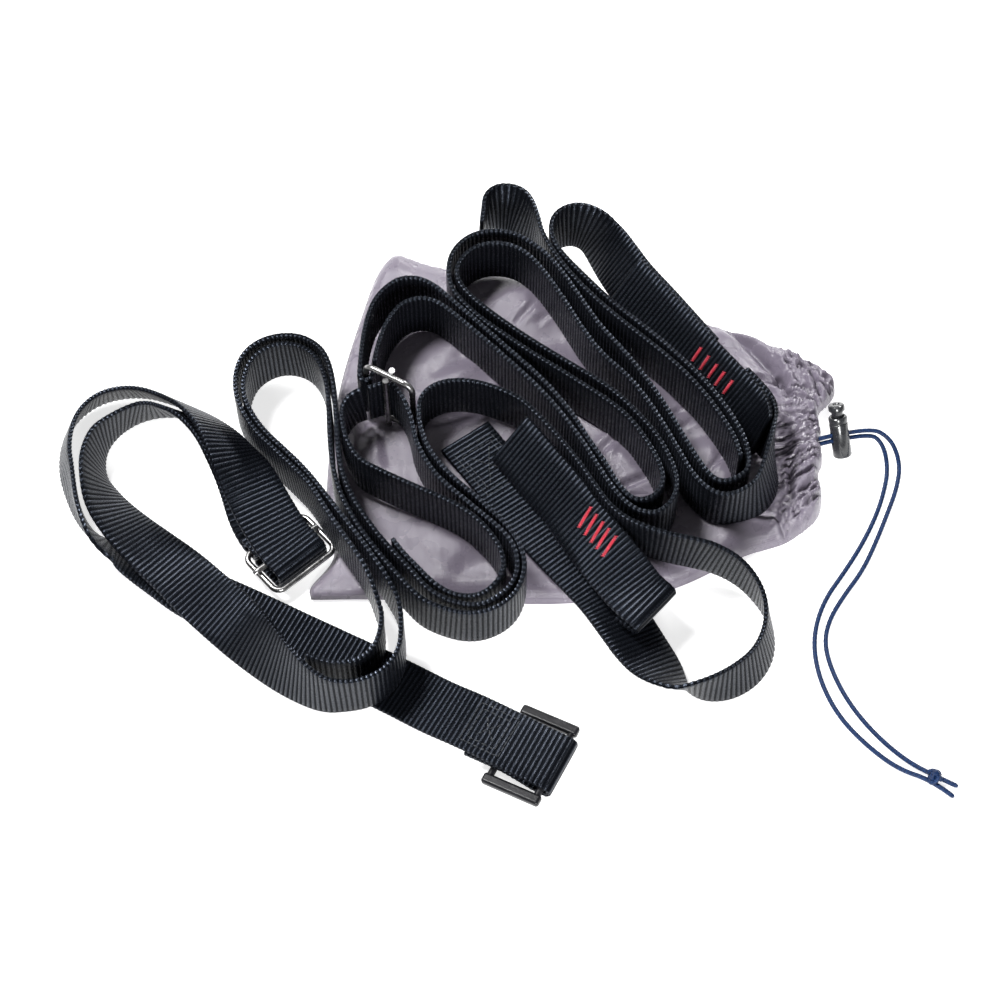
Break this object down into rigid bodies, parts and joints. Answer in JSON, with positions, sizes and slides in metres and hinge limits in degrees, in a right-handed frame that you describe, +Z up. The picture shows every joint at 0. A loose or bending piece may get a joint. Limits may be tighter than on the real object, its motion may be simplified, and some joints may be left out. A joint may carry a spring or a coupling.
{
  "type": "webbing strap set on a stuff sack",
  "caption": "Black webbing straps with wire and frame buckles, laid in loops over a flat grey drawstring stuff sack with a cord lock.",
  "frame": {"origin": "centre of the sack's flat underside, on the ground", "axes": "+Z up; +X towards the gathered mouth; the straps are seen from -Y"},
  "size_m": [0.3699, 0.2837, 0.0438],
  "materials": {
    "webbing": "matte ribbed",
    "sack_cloth": "slightly shiny nylon",
    "wire": "polished",
    "black_metal": "satin",
    "cord": "braided",
    "lock_plastic": "gloss",
    "red_thread": "matte",
    "black_thread": "matte"
  },
  "bodies": {
    "strap_set": {"sack": "sack_cloth", "front_strap": "webbing", "main_strap": "webbing", "tail_strap": "webbing", "tail_end_strap": "webbing", "rear_strap_outer": "webbing", "rear_strap_inner": "webbing", "rear_strap_end": "webbing", "middle_band": "webbing", "rear_band": "webbing", "middle_bar_tacks": "red_thread", "rear_bar_tacks": "red_thread", "main_end_stitching": "black_thread", "left_buckle_frame": "wire", "middle_buckle_frame": "wire", "drawcord_upper": "cord", "drawcord_lower": "cord", "drawcord_knot": "cord"},
    "left_bar": {"left_buckle_bar": "wire"},
    "middle_bar": {"middle_buckle_bar": "wire"},
    "front_frame": {"front_buckle": "black_metal"},
    "lock_barrel": {"cord_lock_barrel": "lock_plastic"},
    "lock_plunger": {"cord_lock_plunger": "lock_plastic"}
  },
  "joints": [
    {"name": "left_bar_slide", "type": "slide", "parent": "strap_set", "child": "left_bar", "axis": [0.6691, -0.7431, 0], "range_m": [0, 0.003]},
    {"name": "middle_bar_slide", "type": "slide", "parent": "strap_set", "child": "middle_bar", "axis": [0.8704, -0.4924, 0], "range_m": [0, 0.0025]},
    {"name": "front_buckle_hinge", "type": "hinge", "parent": "strap_set", "child": "front_frame", "pos_m": [-0.0106, -0.1616, 0.0043], "axis": [-0.4664, -0.8846, 0], "range_deg": [0, 170]},
    {"name": "cord_lock_slide", "type": "slide", "parent": "strap_set", "child": "lock_barrel", "axis": [0.9594, 0.2821, 0], "range_m": [0, 0.005]},
    {"name": "plunger_press", "type": "slide", "parent": "lock_barrel", "child": "lock_plunger", "axis": [0.172, -0.5859, -0.7919], "range_m": [0, 0.002], "stiffness_N_per_m": 300, "springref_m": -0.003}
  ]
}
